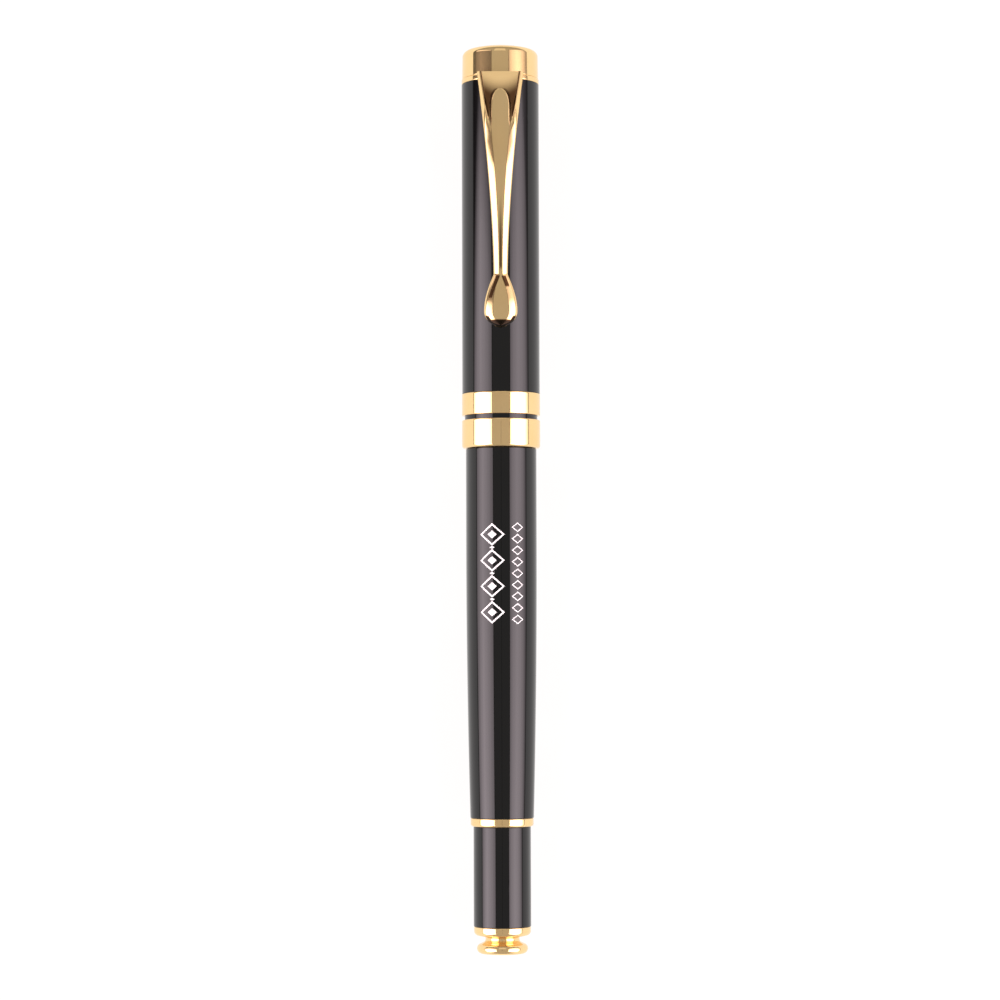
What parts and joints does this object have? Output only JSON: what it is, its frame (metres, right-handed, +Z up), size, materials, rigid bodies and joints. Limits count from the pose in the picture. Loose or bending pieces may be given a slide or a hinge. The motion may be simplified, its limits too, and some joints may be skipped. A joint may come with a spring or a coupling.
{
  "type": "rollerball pen",
  "caption": "Slim capped rollerball pen: tapered lacquered barrel with a stepped tail and end knob, screw-in section with a refill, and a pull-off cap with a spring clip.",
  "frame": {"origin": "bottom centre of the bounding box, on the line where the cap bands touch the table as the capped pen lies on its side with the clip up", "axes": "+Y along the pen from the end knob to the crown, +Z up through the clip, +X to the right seen from above with the crown away from the viewer"},
  "size_m": [0.012, 0.14, 0.0144],
  "materials": {
    "black_lacquer": "deep gloss black lacquer on a drawn brass tube",
    "gold_plate": "polished pale gold plate",
    "bare_brass": "turned bare brass",
    "grip_plastic": "satin to gloss black moulded grip",
    "dark_plastic": "plain black moulded plastic",
    "refill_plastic": "milky translucent extruded plastic",
    "ink": "black ink seen through the refill tube",
    "steel": "bright drawn or turned steel",
    "white_print": "thin white pad print on the barrel"
  },
  "bodies": {
    "barrel": {"barrel_tube": "black_lacquer", "barrel_thread_bush": "bare_brass", "barrel_liner": "bare_brass", "rear_ring": "gold_plate", "tail_tube": "black_lacquer", "end_knob": "gold_plate", "refill_spring": "steel"},
    "refill": {"refill_tube": "refill_plastic", "refill_rear_plug": "dark_plastic", "refill_nose": "dark_plastic", "refill_tip": "steel", "ink_column": "ink", "ink_follower": "refill_plastic"},
    "ball": {"tip_ball": "steel"},
    "section": {"section_grip": "grip_plastic", "section_ring": "gold_plate", "section_thread_bush": "bare_brass", "nose_cone": "gold_plate"},
    "snap_ring": {"snap_ring": "steel"},
    "cap": {"cap_tube": "black_lacquer", "inner_cap": "dark_plastic", "upper_band": "gold_plate", "lower_band": "gold_plate", "clip_ring": "gold_plate", "crown": "gold_plate", "cap_screw": "steel"},
    "clip": {"clip_arm": "gold_plate"}
  },
  "joints": [
    {"name": "refill_advance", "type": "slide", "parent": "barrel", "child": "refill", "axis": [0, 1, 0], "range_m": [0, 0.005], "deforming": ["refill_spring"]},
    {"name": "section_turn", "type": "hinge", "parent": "refill", "child": "section", "pos_m": [0, 0.0073, 0.00603], "axis": [0, 1, 0], "range_deg": [0, 1810]},
    {"name": "ball_roll", "type": "hinge", "parent": "refill", "child": "ball", "pos_m": [0, 0.05285, 0.00603], "axis": [1, 0, 0], "continuous": true},
    {"name": "cap_turn", "type": "hinge", "parent": "section", "child": "snap_ring", "pos_m": [0, 0.01075, 0.00603], "axis": [0, 1, 0], "continuous": true},
    {"name": "cap_pull", "type": "slide", "parent": "snap_ring", "child": "cap", "axis": [0, 1, 0], "range_m": [0, 0.06]},
    {"name": "clip_flex", "type": "hinge", "parent": "cap", "child": "clip", "pos_m": [0, 0.0643, 0.01209], "axis": [-1, 0, 0], "range_deg": [0, 4], "stiffness_Nm_per_rad": 3.9, "springref_deg": -0.57}
  ],
  "couplings": [
    {"joint": "section_turn", "follows": "refill_advance", "rad_per_m": 6283.2}
  ]
}
